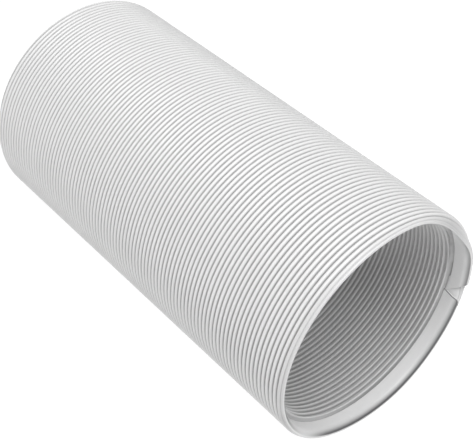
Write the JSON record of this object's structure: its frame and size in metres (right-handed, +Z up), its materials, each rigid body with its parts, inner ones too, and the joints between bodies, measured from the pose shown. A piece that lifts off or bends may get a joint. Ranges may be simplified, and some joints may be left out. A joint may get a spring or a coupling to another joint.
{
  "type": "air conditioner exhaust hose",
  "caption": "Ribbed white plastic exhaust hose for a portable air conditioner, pushed together to its shortest length, wound from one strip and open at both ends.",
  "frame": {"origin": "on the floor, below the middle of the hose", "axes": "+X along the hose towards its open mouth, +Z up"},
  "size_m": [0.2876, 0.15, 0.15],
  "materials": {
    "white_plastic": "moulded polypropylene with a soft sheen"
  },
  "bodies": {
    "root": {"hose": "white_plastic"}
  },
  "joints": []
}
